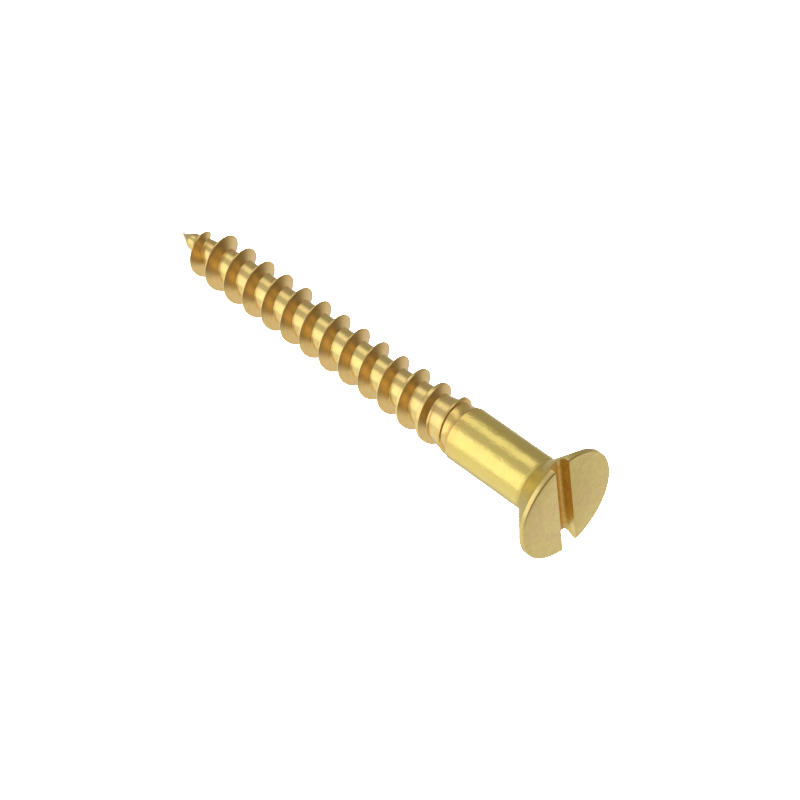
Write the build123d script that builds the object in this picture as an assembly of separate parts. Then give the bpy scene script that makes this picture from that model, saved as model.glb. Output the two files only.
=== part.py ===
from build123d import *
import os
from math import cos, pi, radians, sin, tan

# Slotted countersunk wood screw in solid brass, gauge 8 x 1 1/2 in, millimetres.
# The axis is Z with the head up. The origin is the centre of the flat top of the head,
# where the length of a countersunk screw is measured from. The slot runs along Y.

# Driving dimensions.
overall_length = 38.1
shank_diameter = 4.08
head_diameter = 8.34
head_cone_angle = 90.0
rim_land = 0.35
rim_edge_radius = 0.1
under_head_fillet = 0.6
slot_width = 1.26
slot_depth = 0.95
slot_offset = 0.10
slot_corner_radius = 0.28

pitch = 25.4 / 13
core_diameter = 2.54
crest_diameter = 4.0
last_crest_diameter = 4.17
crest_land = 0.09
last_crest_land = 0.34
last_line_land = 0.1
flank_half_angle = 30.0
point_half_angle = 31.0
thread_angle_at_tip = -128.7

shoulder_z = -9.38
shoulder_run = 0.5
cut_band_radius = 1.836
runout_seam_z = -15.9
point_seam_z = -34.1

# Turns of the thread, counted along the axis from the tip.
thread_start_turn = 0.5
thread_full_turn = 2.0
crest_rise_start_turn = 10.9
crest_rise_end_turn = 12.0
land_growth_end_turn = 13.9
crest_fall_start_turn = 13.9
crest_fall_end_turn = 14.15
thread_end_turn = 14.6

# How far the crest drops before the shoulder, and the slopes of the first turn.
crest_fall = 0.14
crest_cone_slope = 0.66
first_flank_slope = 1.0

# The ridge's foot lies this far inside the core's radius this far below, so that the two fuse
# cleanly all along, on the point's cone too.
ridge_sink = 0.16
ridge_look_below = pitch / 4
points_per_turn = 24

shank_radius = shank_diameter / 2
head_radius = head_diameter / 2
core_radius = core_diameter / 2
crest_radius = crest_diameter / 2
last_crest_radius = last_crest_diameter / 2
tip_z = -overall_length
cone_slope = tan(radians(head_cone_angle / 2))
cone_bottom_z = -rim_land - (head_radius - shank_radius) / cone_slope
fillet_reach = under_head_fillet * tan(radians(head_cone_angle / 4))
head_seam_z = cone_bottom_z - fillet_reach
point_slope = tan(radians(point_half_angle))
flank_slope = tan(radians(flank_half_angle))

# The core's outline as (radius, z) from the plain cone of the point up to the shoulder.
nose_radius = 0.6
straight_core_z = -30.0
point_core = [(nose_radius, tip_z + nose_radius / point_slope), (0.9, -35.7), (1.2, -33.4)]
runout_core = [(core_radius, -16.6), (1.41, -13.8), (1.55, -12.0), (1.68, -11.2)]
cut_band_foot = (cut_band_radius, -10.3)
shoulder_foot = (cut_band_radius, shoulder_z - shoulder_run)


def smooth_step(value):
    """Rises smoothly from 0 to 1 as value goes from 0 to 1."""
    held = min(1.0, max(0.0, value))
    return held * held * (3 - 2 * held)


def core_edges():
    """Outline of the core in the XZ plane, from the tip to the shoulder's edge."""
    tip = (0, tip_z)
    straight_foot = (core_radius, straight_core_z)
    edge = (shank_radius, shoulder_z)
    nose = Line(tip, point_core[0])
    swell = Spline(*point_core, straight_foot, tangents=((1, 3), (0, 1)))
    straight = Line(straight_foot, runout_core[0])
    rise = Spline(*runout_core, cut_band_foot, tangents=((0, 1), (0, 1)))
    band = Line(cut_band_foot, shoulder_foot)
    shoulder = Spline(shoulder_foot, edge, tangents=((1, 1), (0.1, 1)))
    lid = Polyline(edge, (0, shoulder_z), tip)
    return [nose, swell, straight, rise, band, shoulder, lid]


def make_core():
    """Body that the thread stands on, turned about the axis."""
    with BuildPart() as core:
        with BuildSketch(Plane.XZ):
            with BuildLine():
                for edge in core_edges():
                    add(edge)
            make_face()
        revolve(axis=Axis.Z)
    return core.part


def core_radius_at(z):
    """Radius of the core's outline at a height, between its given points."""
    straight_foot = (core_radius, straight_core_z)
    outline = [(0.0, tip_z), *point_core, straight_foot, *runout_core, cut_band_foot]
    for (low_r, low_z), (high_r, high_z) in zip(outline, outline[1:]):
        if z <= high_z:
            return low_r + (high_r - low_r) * (z - low_z) / (high_z - low_z)
    return cut_band_radius


def ramp(turn, start, end):
    """Rises smoothly from 0 to 1 between two turns of the thread."""
    return smooth_step((turn - start) / (end - start))


def crest_radius_at(turn):
    """Radius of the thread's crest: on the point's cone, then level, then larger by the shank."""
    on_cone = turn * pitch * crest_cone_slope
    rise = ramp(turn, crest_rise_start_turn, crest_rise_end_turn)
    level = crest_radius + (last_crest_radius - crest_radius) * rise
    fall = ramp(turn, crest_fall_start_turn, crest_fall_end_turn)
    return min(on_cone, level) - fall * crest_fall


def land_at(turn):
    """Width of the flat on the crest: wider as the groove gets shallower, then only a line."""
    growth = ramp(turn, crest_rise_start_turn, land_growth_end_turn)
    shrink = ramp(turn, crest_fall_start_turn, crest_fall_end_turn)
    land = crest_land + (last_crest_land - crest_land) * growth
    return land + (last_line_land - last_crest_land) * shrink


def ridge_section(turn):
    """Corners of the ridge at a turn, as (radius, z): foot, crest, crest, foot."""
    z = tip_z + turn * pitch
    foot = core_radius_at(z - ridge_look_below) - ridge_sink
    crest = max(crest_radius_at(turn), foot + ridge_sink / 2)
    height = crest - foot
    on_point = 1 - ramp(turn, thread_start_turn, thread_full_turn)
    tip_side = height * (flank_slope + on_point * (first_flank_slope - flank_slope))
    head_side = height * flank_slope
    half_land = land_at(turn) / 2
    return [
        (foot, z - half_land - tip_side),
        (crest, z - half_land),
        (crest, z + half_land),
        (foot, z + half_land + head_side),
    ]


def ridge_point(turn, corner):
    """A corner of the ridge in space at a turn."""
    radius, z = ridge_section(turn)[corner]
    angle = radians(thread_angle_at_tip) + 2 * pi * turn
    return Vector(radius * cos(angle), radius * sin(angle), z)


def ridge_edge(start, end, corner):
    """A corner's path along one stretch of the thread."""
    steps = max(2, round((end - start) * points_per_turn))
    turns = [start + (end - start) * step / steps for step in range(steps + 1)]
    small = 1e-4
    tangents = [
        ridge_point(turn + small, corner) - ridge_point(turn - small, corner)
        for turn in (start, end)
    ]
    points = [ridge_point(turn, corner) for turn in turns]
    return Edge.make_spline(points, tangents=tangents)


def make_ridge():
    """Helical ridge of the thread as a closed solid, one stretch per turn."""
    stops = [thread_start_turn]
    while thread_end_turn - stops[-1] > 1:
        stops.append(stops[-1] + 1)
    stops.append(thread_end_turn)
    faces = []
    for start, end in zip(stops, stops[1:]):
        edges = [ridge_edge(start, end, corner) for corner in range(4)]
        for corner in range(4):
            faces.append(Face.make_surface_from_curves(edges[corner], edges[(corner + 1) % 4]))
    for turn in (thread_start_turn, thread_end_turn):
        corners = [ridge_point(turn, corner) for corner in range(4)]
        faces.append(Face(Wire.make_polygon(corners, close=True)))
    return Solid(Shell(faces))


def slab(low_z, high_z):
    """Block across the whole screw between two heights."""
    size = 2 * head_diameter
    low_face = (Align.CENTER, Align.CENTER, Align.MIN)
    return Pos(0, 0, low_z) * Box(size, size, high_z - low_z, align=low_face)


def make_slot():
    """Bar along Y that the saw takes out: upright walls and rounded bottom corners."""
    with BuildPart() as slot:
        with Locations((slot_offset, 0, 0)):
            Box(slot_width, 2 * head_diameter, 2 * slot_depth)
        fillet(slot.edges().filter_by(Axis.Y).group_by(Axis.Z)[0], slot_corner_radius)
    return slot.part


def make_head():
    """Countersunk head with its rim land, slot and the fillet under it."""
    with BuildPart() as head:
        with BuildSketch(Plane.XZ):
            with BuildLine():
                Polyline(
                    (0, 0),
                    (head_radius, 0),
                    (head_radius, -rim_land),
                    (shank_radius, cone_bottom_z),
                    (shank_radius, head_seam_z - 1),
                    (0, head_seam_z - 1),
                    close=True,
                )
            make_face()
        revolve(axis=Axis.Z)
        neck = head.edges().filter_by(GeomType.CIRCLE).group_by(Axis.Z)[1]
        fillet(neck, under_head_fillet)
        fillet(head.edges().filter_by(GeomType.CIRCLE).group_by(Axis.Z)[-1], rim_edge_radius)
    return (head.part - make_slot()) & slab(head_seam_z, 1)


def make_shank():
    """Smooth cylinder between the head's fillet and the shoulder."""
    length = head_seam_z - shoulder_z
    low_face = (Align.CENTER, Align.CENTER, Align.MIN)
    return Pos(0, 0, shoulder_z) * Cylinder(shank_radius, length, align=low_face)


def make_threaded():
    """Core and ridge in one solid, from the tip to the shoulder's edge."""
    return make_core() + make_ridge()


os.makedirs("parts", exist_ok=True)
threaded = make_threaded()
sections = {
    "countersunk_head": make_head(),
    "plain_shank": make_shank(),
    "thread_runout": threaded & slab(runout_seam_z, shoulder_z),
    "thread_body": threaded & slab(point_seam_z, runout_seam_z),
    "gimlet_point": threaded & slab(tip_z - 1, point_seam_z),
}
for name, section in sections.items():
    section.label = name
    export_step(section, f"parts/{name}.step")
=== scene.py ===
import random
from math import atan2, cos, exp, hypot, pi, radians, sin, sqrt, tan

import bmesh
import bpy
from mathutils import Matrix, Vector


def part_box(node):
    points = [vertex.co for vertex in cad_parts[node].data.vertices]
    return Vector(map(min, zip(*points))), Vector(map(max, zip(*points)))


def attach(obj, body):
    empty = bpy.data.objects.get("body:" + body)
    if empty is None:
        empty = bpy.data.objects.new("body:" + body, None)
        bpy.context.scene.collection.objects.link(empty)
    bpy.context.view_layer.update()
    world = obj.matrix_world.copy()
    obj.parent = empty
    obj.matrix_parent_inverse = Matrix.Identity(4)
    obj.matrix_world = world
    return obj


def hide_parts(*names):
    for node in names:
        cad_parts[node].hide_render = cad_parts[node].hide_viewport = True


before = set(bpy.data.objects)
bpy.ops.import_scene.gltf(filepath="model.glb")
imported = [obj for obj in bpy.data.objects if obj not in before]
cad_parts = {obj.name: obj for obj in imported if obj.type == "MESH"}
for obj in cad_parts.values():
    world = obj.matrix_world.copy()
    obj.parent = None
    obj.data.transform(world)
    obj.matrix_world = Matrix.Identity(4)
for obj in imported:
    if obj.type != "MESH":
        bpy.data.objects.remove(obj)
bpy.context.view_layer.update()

# Lengths in this script are millimetres until a mesh, an object or a node takes them, in metres.
MM = 0.001

# Main sizes and the places of the seams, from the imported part.
head_low, head_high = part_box("countersunk_head")
body_low, body_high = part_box("thread_body")
HEAD_RADIUS = head_high.x / MM
HEAD_SEAM_Z = head_low.z / MM
SHANK_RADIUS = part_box("plain_shank")[1].x / MM
SHOULDER_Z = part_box("thread_runout")[1].z / MM
RUNOUT_SEAM_Z = body_high.z / MM
POINT_SEAM_Z = body_low.z / MM
TIP_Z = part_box("gimlet_point")[0].z / MM

# Head.
RIM_LAND = 0.35
RIM_EDGE_RADIUS = 0.1
RIM_LOW_RADIUS = 0.04
RIM_LOW_DROP = 0.0166
UNDER_HEAD_FILLET = 0.6
SLOT_WIDTH = 1.26
SLOT_DEPTH = 0.95
SLOT_OFFSET = 0.10
SLOT_CORNER_RADIUS = 0.28
CUT_EDGE_BEVEL = 0.025
BEVELLED_ANGLE = radians(40)
HEAD_STEPS = 256
FILLET_STEPS = 8
RIM_LOW_STEPS = 3
RIM_EDGE_STEPS = 6

# Shank and its dents, which reach out to so many of their sizes.
SHANK_STEPS = 320
SHANK_ROWS = 110
DENT_SEED = 8
DENT_COUNT = 46
DENT_SIZES = (0.06, 0.18)
DENT_REACH = 3
DENT_DEPTHS = (0.002, 0.008)
DENT_MARGIN = 0.3

# Thread, with its spans counted in turns above the tip.
PITCH = 25.4 / 13
CORE_RADIUS = 1.27
CREST_RADIUS = 2.0
LAST_CREST_RADIUS = 2.085
CREST_LAND = 0.09
LAST_CREST_LAND = 0.34
FLANK_SLOPE = tan(radians(30))
FIRST_FLANK_SLOPE = 1.0
CREST_CONE_SLOPE = 0.66
CREST_CONE_BLEND = 0.25
NOSE_SLOPE = tan(radians(31))
NOSE_RADIUS = 0.6
NOSE_BLUNTNESS = 0.03
ANGLE_AT_TIP = radians(-128.7)
CUT_BAND_Z = -10.3
CUT_BAND_RADIUS = 1.836
SHOULDER_RUN = 0.5
SHOULDER_BULGE = 1.15
THREAD_START = (0.45, 0.8)
THREAD_FULL_TURN = 2.0
CREST_RISE = (10.9, 12.0)
LAND_GROWTH = (10.9, 13.9)
LAST_LINE = 0.1
CREST_FALL = (13.9, 14.15)
CREST_FALL_DEPTH = 0.14
HIDDEN_CREST_DEPTH = 0.05
ROOT_BLEND = 0.03
CREST_BLEND = 0.03
STEPS_PER_TURN = 150

# Core of the thread as (z, radius), from the plain nose to the shoulder's foot.
CORE_OUTLINE = [
    (TIP_Z + NOSE_RADIUS / NOSE_SLOPE, NOSE_RADIUS),
    (-35.7, 0.90),
    (-33.4, 1.20),
    (-30.0, CORE_RADIUS),
    (-16.6, CORE_RADIUS),
    (-13.8, 1.41),
    (-12.0, 1.55),
    (-11.2, 1.68),
    (CUT_BAND_Z, CUT_BAND_RADIUS),
    (SHOULDER_Z - SHOULDER_RUN, CUT_BAND_RADIUS),
]


def smooth_step(value):
    """Rises smoothly from 0 to 1 as value goes from 0 to 1."""
    held = min(1.0, max(0.0, value))
    return held * held * (3 - 2 * held)


def ramp(value, span):
    """Rises smoothly from 0 to 1 over a span (start, end)."""
    return smooth_step((value - span[0]) / (span[1] - span[0]))


def soft_max(a, b, blend):
    """The larger of two numbers, rounded where they cross."""
    overlap = max(blend - abs(a - b), 0.0) / blend
    return max(a, b) + overlap * overlap * blend / 4


def soft_min(a, b, blend):
    """The smaller of two numbers, rounded where they cross."""
    return -soft_max(-a, -b, blend)


def spread(low, high, count):
    """Evenly spaced numbers from low up to, but not including, high."""
    return [low + (high - low) * step / count for step in range(count)]


def through(points, z):
    """Smooth curve through (z, radius) points, level beyond both ends."""
    if z <= points[0][0]:
        return points[0][1]
    for index, ((low_z, low_r), (high_z, high_r)) in enumerate(zip(points, points[1:])):
        if z <= high_z:
            before = points[max(index - 1, 0)]
            after = points[min(index + 2, len(points) - 1)]
            span = high_z - low_z
            low_slope = (high_r - before[1]) / (high_z - before[0]) * span
            high_slope = (after[1] - low_r) / (after[0] - low_z) * span
            t = (z - low_z) / span
            cubic = 2 * t**3 - 3 * t**2
            return (
                (cubic + 1) * low_r
                - cubic * high_r
                + (t**3 - 2 * t**2 + t) * low_slope
                + (t**3 - t**2) * high_slope
            )
    return points[-1][1]


def core_radius(z):
    """Radius of the core that the thread stands on, from the tip to the shoulder."""
    above_tip = z - TIP_Z
    if z < CORE_OUTLINE[0][0]:
        return NOSE_SLOPE * sqrt(above_tip * (above_tip + 2 * NOSE_BLUNTNESS))
    if z < SHOULDER_Z - SHOULDER_RUN:
        return through(CORE_OUTLINE, z)
    rise = min((z - SHOULDER_Z + SHOULDER_RUN) / SHOULDER_RUN, 1)
    return CUT_BAND_RADIUS + (SHANK_RADIUS - CUT_BAND_RADIUS) * (1 - (1 - rise) ** SHOULDER_BULGE)


def crest_radius(turn):
    """Radius of the crest at a number of turns above the tip."""
    z = min(max(TIP_Z + turn * PITCH, TIP_Z), SHOULDER_Z)
    level = CREST_RADIUS + (LAST_CREST_RADIUS - CREST_RADIUS) * ramp(turn, CREST_RISE)
    level -= CREST_FALL_DEPTH * ramp(turn, CREST_FALL)
    crest = soft_min(turn * PITCH * CREST_CONE_SLOPE, level, CREST_CONE_BLEND)
    hidden = core_radius(z) - HIDDEN_CREST_DEPTH
    return hidden + (crest - hidden) * ramp(turn, THREAD_START)


def half_land(turn):
    """Half the width of the flat on the crest: wider by the shank, then only a line."""
    land = CREST_LAND + (LAST_CREST_LAND - CREST_LAND) * ramp(turn, LAND_GROWTH)
    return (land + (LAST_LINE - LAST_CREST_LAND) * ramp(turn, CREST_FALL)) / 2


def tip_side_slope(turn):
    """Slope of the flank that faces the tip, which leans more over the first turns."""
    first = 1 - ramp(turn, (THREAD_START[0], THREAD_FULL_TURN))
    return FLANK_SLOPE + (FIRST_FLANK_SLOPE - FLANK_SLOPE) * first


# Spacing of the thread's rows: half the stretch that is finely divided at a crest's edge and at
# a flank's foot, the least run of a flank, and the least half run of the core between two feet.
# The least run of a flank keeps the two stretches apart, so that the heights stay in order.
EDGE_REACH = 0.02
FOOT_REACH = 0.08
LEAST_FLANK = EDGE_REACH + FOOT_REACH + 0.01
LEAST_FLOOR = 0.1

# Rows in each stretch of half a crest's land, over its edge, and of a flank, foot or core.
LAND_ROWS = 2
EDGE_ROWS = 4
WALL_ROWS = 6


def row_heights(turn):
    """Heights from one crest to the next at one angle, closer together where the outline bends."""
    low_z = TIP_Z + turn * PITCH
    high_z = low_z + PITCH
    low_edge = low_z + half_land(turn)
    high_edge = high_z - half_land(turn + 1)
    middle = (low_edge + high_edge) / 2
    floor = core_radius(min(max(middle, TIP_Z), SHOULDER_Z))
    low_run = max((crest_radius(turn) - floor) * FLANK_SLOPE, LEAST_FLANK)
    high_run = max((crest_radius(turn + 1) - floor) * tip_side_slope(turn + 1), LEAST_FLANK)
    low_foot = min(low_edge + low_run, middle - LEAST_FLOOR)
    high_foot = max(high_edge - high_run, middle + LEAST_FLOOR)
    return (
        spread(low_z, low_edge - EDGE_REACH, LAND_ROWS)
        + spread(low_edge - EDGE_REACH, low_edge + EDGE_REACH, EDGE_ROWS)
        + spread(low_edge + EDGE_REACH, low_foot - FOOT_REACH, WALL_ROWS)
        + spread(low_foot - FOOT_REACH, low_foot + FOOT_REACH, WALL_ROWS)
        + spread(low_foot + FOOT_REACH, high_foot - FOOT_REACH, WALL_ROWS)
        + spread(high_foot - FOOT_REACH, high_foot + FOOT_REACH, WALL_ROWS)
        + spread(high_foot + FOOT_REACH, high_edge - EDGE_REACH, WALL_ROWS)
        + spread(high_edge - EDGE_REACH, high_edge + EDGE_REACH, EDGE_ROWS)
        + spread(high_edge + EDGE_REACH, high_z, LAND_ROWS)
        + [high_z]
    )


def thread_radius(turn, z):
    """Radius of the surface at a height between the crest at a turn and the next one."""
    low_crest = crest_radius(turn)
    high_crest = crest_radius(turn + 1)
    low_z = TIP_Z + turn * PITCH
    from_low = low_crest - (z - low_z - half_land(turn)) / FLANK_SLOPE
    from_high = high_crest - (low_z + PITCH - half_land(turn + 1) - z) / tip_side_slope(turn + 1)
    top = low_crest + (high_crest - low_crest) * smooth_step((z - low_z) / PITCH)
    wall = soft_min(max(from_low, from_high), top, CREST_BLEND)
    return soft_max(core_radius(z), wall, ROOT_BLEND)


def thread_row(turn):
    """(radius, z) points along the screw from one crest to the next at one angle."""
    row = []
    for z in row_heights(turn):
        if z <= TIP_Z:
            row.append((0.0, TIP_Z))
        elif z >= SHOULDER_Z:
            row.append((SHANK_RADIUS, SHOULDER_Z))
        else:
            row.append((thread_radius(turn, z), z))
    return row


def new_object(name, data):
    """Puts a mesh, a light or a camera into the scene as an object."""
    made = bpy.data.objects.new(name, data)
    bpy.context.scene.collection.objects.link(made)
    return made


def close_holes(surface):
    """Fills each open loop with one flat face and points all faces outwards."""
    open_edges = [edge for edge in surface.edges if edge.is_boundary]
    if open_edges:
        bmesh.ops.holes_fill(surface, edges=open_edges, sides=0)
    bmesh.ops.recalc_face_normals(surface, faces=surface.faces)


# Points nearer to each other than this become one.
MERGE_DISTANCE = 0.0005

# A point this near to a cut lies on it.
CUT_TOLERANCE = 0.00001


def threaded_surface():
    """The whole threaded part, from the tip to the shoulder, as one closed bmesh."""
    last = int((SHOULDER_Z - TIP_Z) / PITCH * STEPS_PER_TURN) + 1
    surface = bmesh.new()
    rows = []
    for step in range(-STEPS_PER_TURN, last + 1):
        turn = step / STEPS_PER_TURN
        angle = ANGLE_AT_TIP + 2 * pi * turn
        across, along = cos(angle) * MM, sin(angle) * MM
        points = [(r * across, r * along, z * MM) for r, z in thread_row(turn)]
        rows.append([surface.verts.new(point) for point in points])
    for row, after in zip(rows, rows[1:]):
        for i in range(len(row) - 1):
            surface.faces.new((row[i], after[i], after[i + 1], row[i + 1]))
    bmesh.ops.remove_doubles(surface, verts=surface.verts, dist=MERGE_DISTANCE * MM)
    close_holes(surface)
    return surface


# An edge that turns by more than this is sharp.
SHARP_ANGLE = radians(50)

# A face with more corners than this is the flat lid of a cut.
LID_CORNERS = 12


def finish_mesh(surface, name):
    """Turns a bmesh into an object with smooth faces, flat lids and sharp edges."""
    mesh = bpy.data.meshes.new(name)
    surface.to_mesh(mesh)
    surface.free()
    mesh.polygons.foreach_set("use_smooth", [True] * len(mesh.polygons))
    mesh.set_sharp_from_angle(angle=SHARP_ANGLE)
    for face in mesh.polygons:
        if len(face.vertices) > LID_CORNERS:
            face.use_smooth = False
    return new_object(name, mesh)


def cut_out(surface, low_z, high_z, name):
    """The stretch of a closed surface between two heights, as a closed object."""
    piece = surface.copy()
    for z, outwards in ((low_z, (0, 0, -1)), (high_z, (0, 0, 1))):
        if z is None:
            continue
        bmesh.ops.bisect_plane(
            piece,
            geom=piece.verts[:] + piece.edges[:] + piece.faces[:],
            dist=CUT_TOLERANCE * MM,
            plane_co=(0, 0, z * MM),
            plane_no=outwards,
            clear_outer=True,
        )
    close_holes(piece)
    return finish_mesh(piece, name)


def lathe(profile, steps):
    """Turns an open (radius, z) profile, axis to axis, into a closed bmesh."""
    surface = bmesh.new()
    angles = [2 * pi * step / steps for step in range(steps)]
    rings = []
    for radius, z in profile:
        if radius == 0:
            rings.append([surface.verts.new((0, 0, z * MM))] * steps)
            continue
        points = [(radius * cos(a) * MM, radius * sin(a) * MM, z * MM) for a in angles]
        rings.append([surface.verts.new(point) for point in points])
    for ring, after in zip(rings, rings[1:]):
        for i in range(steps):
            j = (i + 1) % steps
            corners = []
            for corner in (ring[i], ring[j], after[j], after[i]):
                if corner not in corners:
                    corners.append(corner)
            surface.faces.new(corners)
    bmesh.ops.recalc_face_normals(surface, faces=surface.faces)
    return surface


def arc(centre, radius, start, end, count):
    """(radius, z) points on an arc about a centre, angles in degrees."""
    angles = [radians(start + (end - start) * step / count) for step in range(count + 1)]
    return [(centre[0] + radius * cos(a), centre[1] + radius * sin(a)) for a in angles]


def head_profile():
    """Outline of the head from the axis under it to the axis on its flat top."""
    cone_bottom_z = -RIM_LAND - (HEAD_RADIUS - SHANK_RADIUS)
    reach = UNDER_HEAD_FILLET * tan(radians(45 / 2))
    neck_centre = (SHANK_RADIUS + UNDER_HEAD_FILLET, cone_bottom_z - reach)
    low_centre = (HEAD_RADIUS - RIM_LOW_RADIUS, -RIM_LAND - RIM_LOW_DROP)
    edge_centre = (HEAD_RADIUS - RIM_EDGE_RADIUS, -RIM_EDGE_RADIUS)
    neck = arc(neck_centre, UNDER_HEAD_FILLET, 180, 135, FILLET_STEPS)
    rim_low = arc(low_centre, RIM_LOW_RADIUS, -45, 0, RIM_LOW_STEPS)
    rim_edge = arc(edge_centre, RIM_EDGE_RADIUS, 0, 90, RIM_EDGE_STEPS)
    return [(0, HEAD_SEAM_Z), *neck, *rim_low, *rim_edge, (0, 0)]


def applied(thing):
    """Applies an object's modifiers to its mesh."""
    bpy.context.view_layer.update()
    graph = bpy.context.evaluated_depsgraph_get()
    mesh = bpy.data.meshes.new_from_object(thing.evaluated_get(graph))
    thing.modifiers.clear()
    old = thing.data
    thing.data = mesh
    bpy.data.meshes.remove(old)
    return thing


def make_slot_cutter():
    """Bar along Y whose section is the slot: upright walls and rounded bottom corners."""
    half = SLOT_WIDTH / 2
    corner = SLOT_CORNER_RADIUS
    right = arc((half - corner, corner - SLOT_DEPTH), corner, -90, 0, FILLET_STEPS)
    left = arc((corner - half, corner - SLOT_DEPTH), corner, 180, 270, FILLET_STEPS)
    section = [*right, (half, SLOT_DEPTH), (-half, SLOT_DEPTH), *left]
    shape = bmesh.new()
    ends = []
    for y in (-2 * HEAD_RADIUS * MM, 2 * HEAD_RADIUS * MM):
        ends.append([shape.verts.new(((x + SLOT_OFFSET) * MM, y, z * MM)) for x, z in section])
    near, far = ends
    shape.faces.new(near)
    shape.faces.new(far[::-1])
    for i in range(len(section)):
        j = (i + 1) % len(section)
        shape.faces.new((near[i], far[i], far[j], near[j]))
    bmesh.ops.recalc_face_normals(shape, faces=shape.faces)
    mesh = bpy.data.meshes.new("slot_cutter")
    shape.to_mesh(mesh)
    shape.free()
    return new_object("slot_cutter", mesh)


def make_head():
    """Turned head with its sawn slot, whose edges are slightly broken."""
    head = finish_mesh(lathe(head_profile(), HEAD_STEPS), "slotted_head")
    cutter = make_slot_cutter()
    cut = head.modifiers.new("slot", "BOOLEAN")
    cut.object = cutter
    cut.solver = "EXACT"
    applied(head)
    bpy.data.objects.remove(cutter)
    bevel = head.modifiers.new("edge", "BEVEL")
    bevel.width = CUT_EDGE_BEVEL * MM
    bevel.segments = 2
    bevel.limit_method = "ANGLE"
    bevel.angle_limit = BEVELLED_ANGLE
    weighted = head.modifiers.new("normals", "WEIGHTED_NORMAL")
    weighted.keep_sharp = True
    return applied(head)


def draw_dents():
    """Places, sizes and depths of the shank's dents, as (angle, z, size, depth)."""
    draw = random.Random(DENT_SEED)
    dents = []
    for _ in range(DENT_COUNT):
        angle = draw.uniform(-pi, pi)
        z = draw.uniform(SHOULDER_Z + DENT_MARGIN, HEAD_SEAM_Z - DENT_MARGIN)
        dents.append((angle, z, draw.uniform(*DENT_SIZES), draw.uniform(*DENT_DEPTHS)))
    return dents


def dent_drop(dents, angle, z):
    """How deep the dents lie at a place on the shank. They fade out towards its ends."""
    drop = 0.0
    for dent_angle, dent_z, size, depth in dents:
        around = (angle - dent_angle + pi) % (2 * pi) - pi
        distance = hypot(around * SHANK_RADIUS, z - dent_z)
        if distance < DENT_REACH * size:
            drop += depth * exp(-((distance / size) ** 2))
    fade = min(1.0, (z - SHOULDER_Z) / DENT_MARGIN, (HEAD_SEAM_Z - z) / DENT_MARGIN)
    return drop * max(fade, 0)


def make_shank():
    """Smooth cylinder with the small dents of handling."""
    length = HEAD_SEAM_Z - SHOULDER_Z
    heights = [SHOULDER_Z + length * row / SHANK_ROWS for row in range(SHANK_ROWS + 1)]
    wall = [(SHANK_RADIUS, z) for z in heights]
    surface = lathe([(0, SHOULDER_Z), *wall, (0, HEAD_SEAM_Z)], SHANK_STEPS)
    dents = draw_dents()
    for vert in surface.verts:
        x, y, z = (c / MM for c in vert.co)
        radius = hypot(x, y)
        if radius > SHANK_RADIUS / 2:
            scale = (radius - dent_drop(dents, atan2(y, x), z)) / radius
            vert.co.x *= scale
            vert.co.y *= scale
    return finish_mesh(surface, "smooth_shank")


# How much of each noise's strength its next finer detail has.
NOISE_ROUGHNESS = 0.55


class Nodes:
    """Short way to write the nodes of a material or of the world."""

    def __init__(self, tree):
        tree.nodes.clear()
        self.tree = tree

    def add(self, kind, settings=None, **inputs):
        """Adds a node. An input is given by its name, with _ for a space, or as i and its number."""
        node = self.tree.nodes.new(kind)
        for name, value in (settings or {}).items():
            setattr(node, name, value)
        for name, value in inputs.items():
            numbered = name[0] == "i" and name[1:].isdigit()
            self.join(value, node.inputs[int(name[1:]) if numbered else name.replace("_", " ")])
        return node

    def join(self, value, socket):
        """Links a socket, or sets its value."""
        if isinstance(value, bpy.types.NodeSocket):
            self.tree.links.new(value, socket)
        else:
            socket.default_value = value

    def split(self, vector):
        """The three parts of a vector."""
        return self.add("ShaderNodeSeparateXYZ", None, Vector=vector).outputs

    def math(self, operation, a, b=0.0, c=0.0):
        """Result of a Math node, whose operation goes by Blender's name."""
        return self.add("ShaderNodeMath", {"operation": operation}, i0=a, i1=b, i2=c).outputs[0]

    def times(self, a, b):
        """Product of two values."""
        return self.math("MULTIPLY", a, b)

    def add_part(self, value, part, total):
        """Adds a part of a value to a total."""
        return self.math("MULTIPLY_ADD", value, part, total)

    def step(self, value, low, high, to_low=0.0, to_high=1.0):
        """Goes smoothly from to_low to to_high as value goes from low to high."""
        settings = {"interpolation_type": "SMOOTHSTEP"}
        ends = {"i1": low, "i2": high, "i3": to_low, "i4": to_high}
        return self.add("ShaderNodeMapRange", settings, i0=value, **ends).outputs[0]

    def noise(self, vector, scale, detail):
        """Soft noise from 0 to 1, with so many cells per metre."""
        settings = {"Scale": scale, "Detail": detail, "Roughness": NOISE_ROUGHNESS}
        return self.add("ShaderNodeTexNoise", None, Vector=vector, **settings).outputs["Fac"]

    def mix(self, factor, a, b):
        """Mixes two colours, each a socket or three numbers."""
        node = self.add("ShaderNodeMix", {"data_type": "RGBA"}, i0=factor)
        for colour, socket in ((a, node.inputs[6]), (b, node.inputs[7])):
            self.join(colour if isinstance(colour, bpy.types.NodeSocket) else (*colour, 1), socket)
        return node.outputs[2]

    def finish(self, shader, kind="ShaderNodeOutputMaterial"):
        """Links a shader to the output."""
        self.tree.links.new(shader.outputs[0], self.add(kind).inputs[0])


# Cells per metre of each noise in the brass, from the finest marks to the widest stains.
RING_SCALE = 13000
SAW_SCALE = 12000
FINE_SCALE = 9000
SCRATCH_SCALE = 7000
LUMP_SCALE = 2300
STAIN_SCALE = 520

# Between which values of its noise each mark grows from nothing to its whole strength.
STAIN_SPAN = (0.36, 0.70)
SPECK_SPAN = (0.62, 0.76)
LUMP_SPAN = (0.3, 0.75)
RING_SPAN = (0.4, 0.75)
SCRATCH_SPAN = (0.60, 0.72)

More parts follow.
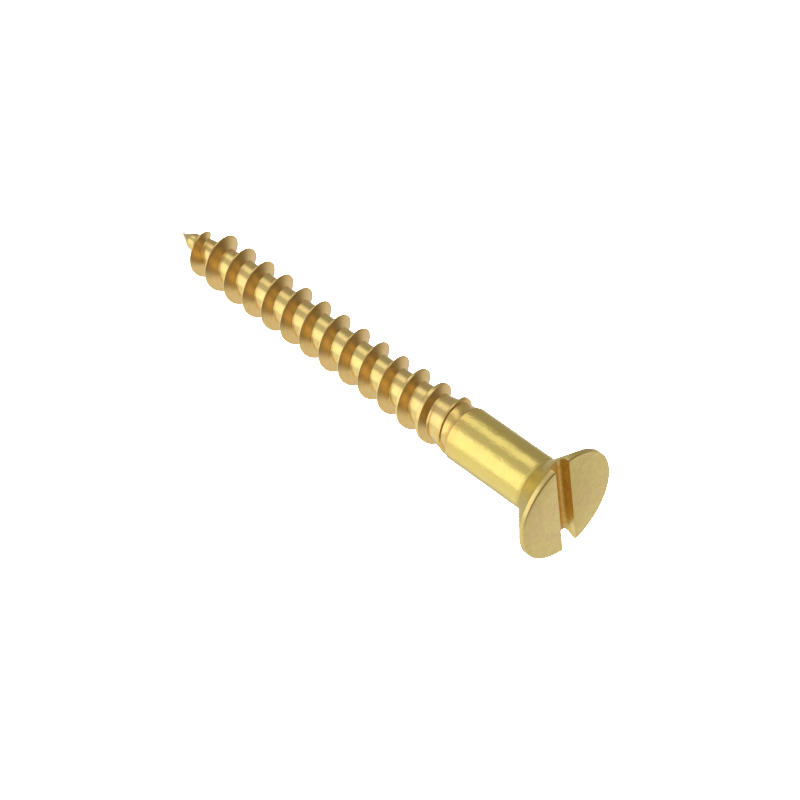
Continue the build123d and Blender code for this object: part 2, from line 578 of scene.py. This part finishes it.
# Roughness in the hollows and on the lumps, and the darker brass, as parts of the plain one.
HOLLOW_ROUGHNESS = 0.8
LUMP_ROUGHNESS = 1.25
DARKENING = (0.72, 0.62, 0.5)

# Height of the fine grain, in the bump's unit of a thousandth of a millimetre.
FINE_HEIGHT = 1.5
BUMP_UNIT = 0.001

# Turns from the direction round the axis to the one in which the cut thread's gloss is drawn out.
QUARTER_TURN = 0.25

# How steeply a surface faces along the axis where the flanks' painted reflection tint begins and is
# whole.
FLANK_SPAN = (0.35, 0.75)

# Colours of the slot and the cone keep this far off the edges of their faces.
SLOT_MARGIN = 0.02
FACE_MARGIN = 0.03

# The two mouths of the slot, where its painted light is paler: along Y, and in depth.
MOUTH_SPAN = (2.7, 3.4)
MOUTH_DEPTHS = (0.62, 0.45)


class Brass:
    """Brass with marks round the axis, faint stains and lumps, which each finish adds to."""

    def __init__(self, name, colour, tint, roughness):
        self.material = bpy.data.materials.new(name)
        self.material.use_nodes = True
        n = self.nodes = Nodes(self.material.node_tree)
        self.where = n.add("ShaderNodeTexCoord").outputs["Object"]
        self.x, self.y, self.z = n.split(self.where)
        self.rings = n.noise(self.stretched(0.12, 0.12, 1), RING_SCALE, 2)
        self.fine = n.noise(self.where, FINE_SCALE, 3)
        self.lumps = n.noise(self.stretched(1, 1, 0.6), LUMP_SCALE, 3)
        stains = n.step(n.noise(self.where, STAIN_SCALE, 4), *STAIN_SPAN)
        self.colour = n.mix(stains, colour, tint)
        self.dark = [channel * part for channel, part in zip(colour, DARKENING)]
        glossiest, dullest = roughness * HOLLOW_ROUGHNESS, roughness * LUMP_ROUGHNESS
        self.roughness = n.step(self.lumps, *LUMP_SPAN, glossiest, dullest)
        self.height = n.times(self.fine, FINE_HEIGHT)

    def stretched(self, x_part, y_part, z_part):
        """Coordinates whose noise is longer along the axes with a part under 1."""
        n = self.nodes
        x, y, z = n.times(self.x, x_part), n.times(self.y, y_part), n.times(self.z, z_part)
        return n.add("ShaderNodeCombineXYZ", None, X=x, Y=y, Z=z).outputs[0]

    def paint(self, part, colour):
        """Mixes in a colour where part is over 0."""
        self.colour = self.nodes.mix(part, self.colour, colour)

    def paint_band(self, low_z, high_z, low_part, high_part, colour):
        """Mixes in a colour by a part that goes from low_part at low_z to high_part at high_z."""
        self.paint(self.nodes.step(self.z, low_z * MM, high_z * MM, low_part, high_part), colour)

    def speckle(self, part):
        """Darkens the tops of the fine grain."""
        self.paint(self.nodes.step(self.fine, *SPECK_SPAN, 0, part), self.dark)

    def roughen(self, part, amount):
        """Adds to the roughness where part is over 0."""
        self.roughness = self.nodes.add_part(part, amount, self.roughness)

    def emboss(self, part, amount):
        """Raises the surface where part is over 0, by so many thousandths of a millimetre."""
        self.height = self.nodes.add_part(part, amount, self.height)

    def finish(self, anisotropy=0.0):
        """Makes the shader. With anisotropy, its gloss is drawn out across the marks of the tool."""
        n = self.nodes
        depth = {"Strength": 1.0, "Distance": BUMP_UNIT * MM}
        bump = n.add("ShaderNodeBump", None, Height=self.height, **depth)
        looks = {"Base_Color": self.colour, "Roughness": self.roughness, "Normal": bump.outputs[0]}
        shader = n.add("ShaderNodeBsdfPrincipled", None, Metallic=1.0, **looks)
        if anisotropy:
            round_axis = n.add("ShaderNodeTangent", {"direction_type": "RADIAL", "axis": "Z"})
            n.join(anisotropy, shader.inputs["Anisotropic"])
            n.join(QUARTER_TURN, shader.inputs["Anisotropic Rotation"])
            n.join(round_axis.outputs[0], shader.inputs["Tangent"])
        n.finish(shader)
        return self.material


def burnished_brass():
    """Bright drawn shank with soft lumps, and a coppery tone towards the shoulder."""
    brass = Brass("burnished_brass", (0.88, 0.71, 0.20), (0.88, 0.69, 0.22), 0.20)
    brass.paint_band(SHOULDER_Z, SHOULDER_Z + 1, 0.7, 0, (0.90, 0.62, 0.20))
    brass.speckle(0.4)
    brass.emboss(brass.rings, 1.2)
    brass.emboss(brass.lumps, 28)
    return brass.finish()


def cut_brass():
    """Cut thread: redder on the flanks, a painted reflection of the light bounced between them, and
    rougher there, with marks of the tool round the axis and painted shade under the shoulder.
    """
    brass = Brass("cut_brass", (0.93, 0.73, 0.27), (0.92, 0.66, 0.26), 0.21)
    n = brass.nodes
    facing = n.split(n.add("ShaderNodeTexCoord").outputs["Normal"])
    flank = n.step(n.math("ABSOLUTE", facing[2]), *FLANK_SPAN)
    # Painted reflection: the flanks are made redder for the light bounced between them.
    brass.paint(flank, (0.87, 0.61, 0.24))
    brass.paint(n.step(brass.rings, *RING_SPAN, 0, 0.3), brass.dark)
    brass.paint_band(CUT_BAND_Z - 0.6, CUT_BAND_Z, 0, 0.85, (0.91, 0.63, 0.19))
    # Painted shade: a dark brown band just under the shoulder, in the crease below the shank.
    brass.paint_band(SHOULDER_Z - 0.18, SHOULDER_Z - 0.02, 0, 0.6, (0.50, 0.33, 0.09))
    brass.speckle(0.2)
    brass.roughen(flank, 0.11)
    brass.emboss(brass.rings, 2.5)
    brass.emboss(brass.lumps, 2)
    return brass.finish(anisotropy=0.4)


def slot_part(brass):
    """1 inside the slot and 0 outside it."""
    n = brass.nodes
    off_middle = n.math("ABSOLUTE", n.math("SUBTRACT", brass.x, SLOT_OFFSET * MM))
    between_walls = n.math("LESS_THAN", off_middle, (SLOT_WIDTH / 2 - SLOT_MARGIN) * MM)
    under_face = n.math("LESS_THAN", brass.z, -FACE_MARGIN * MM)
    over_floor = n.math("GREATER_THAN", brass.z, -(SLOT_DEPTH + SLOT_MARGIN) * MM)
    return n.times(between_walls, n.times(under_face, over_floor))


def saw_marks_and_painted_slot_light(brass, saw):
    """Copper-brown of the sawn slot, streaked by the saw: painted reflection of the light bounced
    inside it, with painted shade darker by the floor and painted light, paler, low down at the two
    mouths.
    """
    n = brass.nodes
    # Painted reflection: copper-orange walls for the light bounced inside the slot, streaked by the
    # saw.
    walls = n.mix(saw, (0.97, 0.67, 0.28), (0.91, 0.62, 0.26))
    dark_top = SLOT_DEPTH - SLOT_CORNER_RADIUS
    # Painted shade: darker down by the slot's floor.
    by_floor = n.step(brass.z, -(SLOT_DEPTH - 0.06) * MM, -dark_top * MM, 1, 0)
    lower = n.mix(by_floor, walls, (0.75, 0.44, 0.11))
    # Painted light: paler low down at the two mouths.
    outer = n.step(n.math("ABSOLUTE", brass.y), MOUTH_SPAN[0] * MM, MOUTH_SPAN[1] * MM)
    deep = n.step(brass.z, -MOUTH_DEPTHS[0] * MM, -MOUTH_DEPTHS[1] * MM, 1, 0)
    return n.mix(n.times(outer, deep), lower, (0.74, 0.52, 0.22))


def turned_brass():
    """Satin head with a duller, rougher cone, a slot painted copper-brown with the light and shade
    inside it, and scratches along it.
    """
    brass = Brass("turned_brass", (0.85, 0.68, 0.24), (0.85, 0.62, 0.26), 0.30)
    n = brass.nodes
    slot = slot_part(brass)
    under_land = n.math("LESS_THAN", brass.z, -(RIM_LAND + FACE_MARGIN) * MM)
    cone = n.times(under_land, n.math("SUBTRACT", 1.0, slot))
    saw = n.noise(brass.stretched(1, 0.04, 1), SAW_SCALE, 2)
    scratches = n.step(n.noise(brass.stretched(0.9, 0.12, 1), SCRATCH_SCALE, 2), *SCRATCH_SPAN)
    brass.speckle(0.4)
    brass.paint(n.times(cone, 0.8), (0.80, 0.64, 0.17))
    # Painted reflection and painted shade inside the slot, over its saw streaks.
    brass.paint(slot, saw_marks_and_painted_slot_light(brass, saw))
    brass.paint(n.times(scratches, 0.3), brass.dark)
    brass.roughen(slot, 0.14)
    brass.roughen(cone, 0.10)
    brass.emboss(brass.rings, 1)
    brass.emboss(brass.lumps, 2)
    brass.emboss(n.times(saw, slot), 4)
    return brass.finish()


def dress(piece, material, slot, *nodes):
    """Gives a piece its material and its body, and hides the CAD nodes that it stands for. The slot
    is not used.
    """
    piece.data.materials.clear()
    piece.data.materials.append(material)
    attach(piece, "root")
    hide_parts(*nodes)


cut = cut_brass()
whole_thread = threaded_surface()
runout_thread = cut_out(whole_thread, RUNOUT_SEAM_Z, None, "runout_thread")
main_thread = cut_out(whole_thread, POINT_SEAM_Z, RUNOUT_SEAM_Z, "main_thread")
threaded_point = cut_out(whole_thread, None, POINT_SEAM_Z, "threaded_point")
whole_thread.free()
dress(runout_thread, cut, "brass_cut", "thread_runout")
dress(main_thread, cut, "brass_cut", "thread_body")
dress(threaded_point, cut, "brass_cut", "gimlet_point")
dress(make_shank(), burnished_brass(), "brass_burnished", "plain_shank")
dress(make_head(), turned_brass(), "brass_turned", "countersunk_head")

# Floor, and the soft light over it.
FLOOR_REACH = 3000
FLOOR_SHADES = (0.90, 0.94)
FLOOR_MOTTLE_SCALE = 60
FLOOR_LIGHT_WIDTH = 900
FLOOR_LIGHT_HEIGHT = 600
FLOOR_LIGHT_WATTS = 45


def make_floor():
    """Pale plain floor under the tip. It lights the scene but isn't mirrored in the brass."""
    shape = bmesh.new()
    bmesh.ops.create_grid(shape, x_segments=1, y_segments=1, size=FLOOR_REACH * MM)
    mesh = bpy.data.meshes.new("floor")
    shape.to_mesh(mesh)
    shape.free()
    floor = new_object("floor", mesh)
    floor.location.z = TIP_Z * MM
    floor.visible_glossy = False
    material = bpy.data.materials.new("pale_floor")
    material.use_nodes = True
    n = Nodes(material.node_tree)
    mottle = n.noise(n.add("ShaderNodeTexCoord").outputs["Object"], FLOOR_MOTTLE_SCALE, 3)
    colour = n.mix(mottle, *([shade] * 3 for shade in FLOOR_SHADES))
    n.finish(n.add("ShaderNodeBsdfPrincipled", None, Base_Color=colour, Roughness=0.8))
    floor.data.materials.append(material)


def make_floor_light():
    """Large soft light over the floor, which keeps it near white. The brass doesn't mirror it."""
    data = bpy.data.lights.new("floor_light", "AREA")
    data.shape = "DISK"
    data.size = FLOOR_LIGHT_WIDTH * MM
    data.energy = FLOOR_LIGHT_WATTS
    light = new_object("floor_light", data)
    light.location.z = FLOOR_LIGHT_HEIGHT * MM
    light.visible_glossy = False
    light.visible_camera = False


# Camera: where it stands from the centre of the head, where it looks, and its roll.
CAMERA_AZIMUTH = radians(-61.53)
CAMERA_ELEVATION = radians(27.57)
CAMERA_DISTANCE = 213.9
LOOK_AZIMUTH = radians(118.256)
LOOK_DOWN = radians(31.060)
ROLL = radians(125.41)
LENS = 145.59
SENSOR_WIDTH = 36
NEAREST_SEEN = 1
FARTHEST_SEEN = 50000


def direction(azimuth, elevation):
    """Unit vector at an azimuth and an elevation."""
    level = cos(elevation)
    return Vector((level * cos(azimuth), level * sin(azimuth), sin(elevation)))


def make_camera():
    """Camera at the viewing angle that shows the head's face and the whole length."""
    data = bpy.data.cameras.new("camera")
    data.lens = LENS
    data.sensor_width = SENSOR_WIDTH
    data.clip_start = NEAREST_SEEN * MM
    data.clip_end = FARTHEST_SEEN * MM
    camera = new_object("camera", data)
    camera.location = direction(CAMERA_AZIMUTH, CAMERA_ELEVATION) * CAMERA_DISTANCE * MM
    level = direction(LOOK_AZIMUTH, -LOOK_DOWN).to_track_quat("-Z", "Y").to_matrix()
    camera.rotation_euler = (level @ Matrix.Rotation(ROLL, 3, "Z")).to_euler()
    bpy.context.scene.camera = camera


# Studio that the brass mirrors: a dim room, and panels of light in it, each laid over those above.
# A panel has its middle azimuth, half its width, its low and high elevation and how softly it
# ends, all in degrees, and then its strength. Azimuth 0 is behind the camera. An elevation past
# 90 leaves that end open, and a half width over 180 goes all the way round.
BEHIND_CAMERA = LOOK_AZIMUTH - pi
ROOM_STRENGTH = 0.18
PANELS = {
    "zenith": (0, 400, 84, 120, 5, 0.4),
    "horizon": (0, 400, -10, 18, 8, 0.42),
    "camera_side": (0, 75, 28, 70, 12, 0.20),
    "backdrop": (180, 42, -40, 44, 20, 0.74),
    "backdrop_right": (118, 34, -30, 68, 14, 0.80),
    "table": (0, 400, -120, -16, 8, 0.5),
    "table_back": (180, 36, -120, -16, 16, 0.66),
    "table_left": (-110, 34, -120, -16, 14, 0.36),
    "strip_left": (-52, 16, -120, -16, 10, 1.0),
    "gap_left": (-18, 7, -120, -16, 8, 0.62),
    "front": (34, 32, -120, -16, 14, 1.36),
    "right": (100, 34, -120, -16, 12, 0.90),
    "nadir": (0, 400, -120, -70, 14, 0.45),
    "horizon_left": (-46, 13, -9, 12, 7, 1.0),
    "horizon_right": (38, 20, -9, 12, 7, 0.85),
}

# What is dimmer than the first strength is warm, and what is brighter than the second is white.
WARM = (1.0, 0.80, 0.56)
WHITE = (1, 1, 1)
WARM_STRENGTH = 0.16
WHITE_STRENGTH = 0.46


def panel_mask(n, azimuth, elevation, panel):
    """1 inside a panel and 0 outside it, with soft ends."""
    middle, half, low, high, soft = [radians(angle) for angle in panel]
    off = n.math("ABSOLUTE", n.math("WRAP", n.math("SUBTRACT", azimuth, middle), pi, -pi))
    across = n.step(off, half - soft, half + soft, 1, 0)
    over_low = n.step(elevation, low - soft, low + soft)
    under_high = n.step(elevation, high - soft, high + soft, 1, 0)
    return n.times(across, n.times(over_low, under_high))


def make_world():
    """The studio in the brass's reflections, with plain white behind the screw."""
    world = bpy.data.worlds.new("studio")
    bpy.context.scene.world = world
    world.use_nodes = True
    n = Nodes(world.node_tree)
    x, y, z = n.split(n.add("ShaderNodeTexCoord").outputs["Generated"])
    azimuth = n.math("SUBTRACT", n.math("ARCTAN2", y, x), BEHIND_CAMERA)
    elevation = n.math("ARCSINE", n.math("MINIMUM", n.math("MAXIMUM", z, -1), 1))
    total = ROOM_STRENGTH
    for *panel, strength in PANELS.values():
        mask = panel_mask(n, azimuth, elevation, panel)
        total = n.add_part(mask, n.math("SUBTRACT", strength, total), total)
    warmth = n.mix(n.step(total, WARM_STRENGTH, WHITE_STRENGTH), WARM, WHITE)
    mirrored = n.add("ShaderNodeBackground", None, Color=warmth, Strength=total)
    seen = n.add("ShaderNodeBackground", None, Color=(*WHITE, 1), Strength=1.0)
    by_camera = n.add("ShaderNodeLightPath").outputs["Is Camera Ray"]
    sides = {"i1": mirrored.outputs[0], "i2": seen.outputs[0]}
    n.finish(n.add("ShaderNodeMixShader", None, i0=by_camera, **sides), "ShaderNodeOutputWorld")


make_floor()
make_floor_light()
make_camera()
make_world()
bpy.context.scene.view_settings.view_transform = "Standard"
